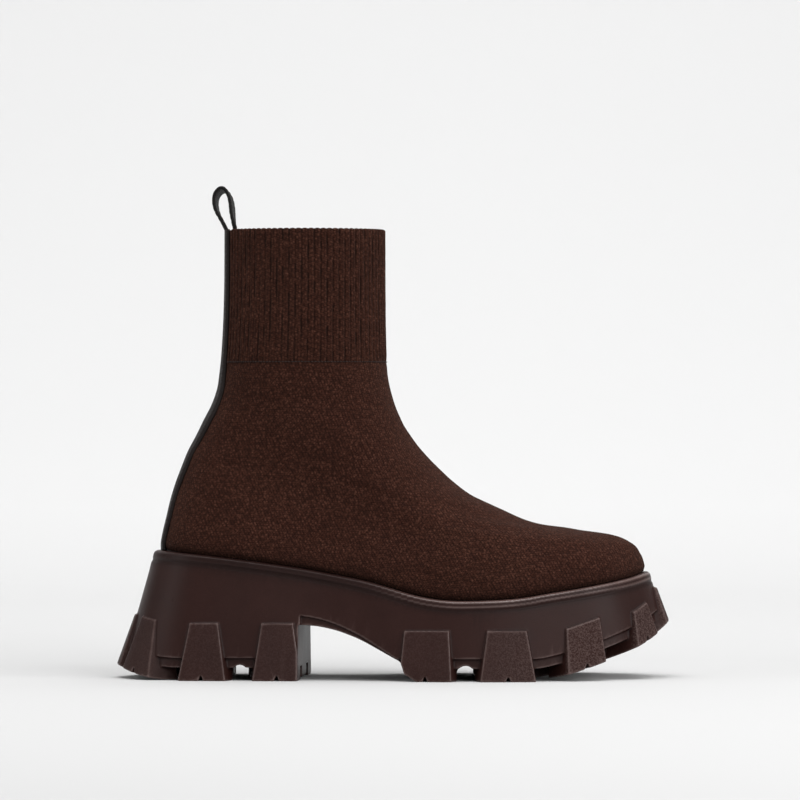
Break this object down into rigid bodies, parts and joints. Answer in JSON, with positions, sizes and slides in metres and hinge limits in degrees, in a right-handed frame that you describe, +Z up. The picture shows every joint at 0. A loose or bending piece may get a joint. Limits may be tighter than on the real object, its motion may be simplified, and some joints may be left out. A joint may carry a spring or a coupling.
{
  "type": "sock boot",
  "caption": "Pull-on sock boot with a knitted upper, a ribbed cuff, a back strip and a pull loop on a chunky moulded lug sole.",
  "frame": {"origin": "middle of the bounding box's bottom face, on the floor under the boot", "axes": "+X from heel to toe, +Y to the inner side of the foot, +Z up from the floor"},
  "size_m": [0.2948, 0.1124, 0.2621],
  "materials": {
    "knit": "matte stretch knit, dark brown",
    "sole_rubber": "satin moulded rubber, dark brown",
    "lining": "matte sock lining, dark brown",
    "strip": "fine-grained soft leather, near black",
    "loop_tape": "fine-grained soft leather tape, near black"
  },
  "bodies": {
    "root": {"upper": "knit", "sole": "sole_rubber", "insole": "lining", "back_strip": "strip", "pull_loop": "loop_tape"}
  },
  "joints": []
}
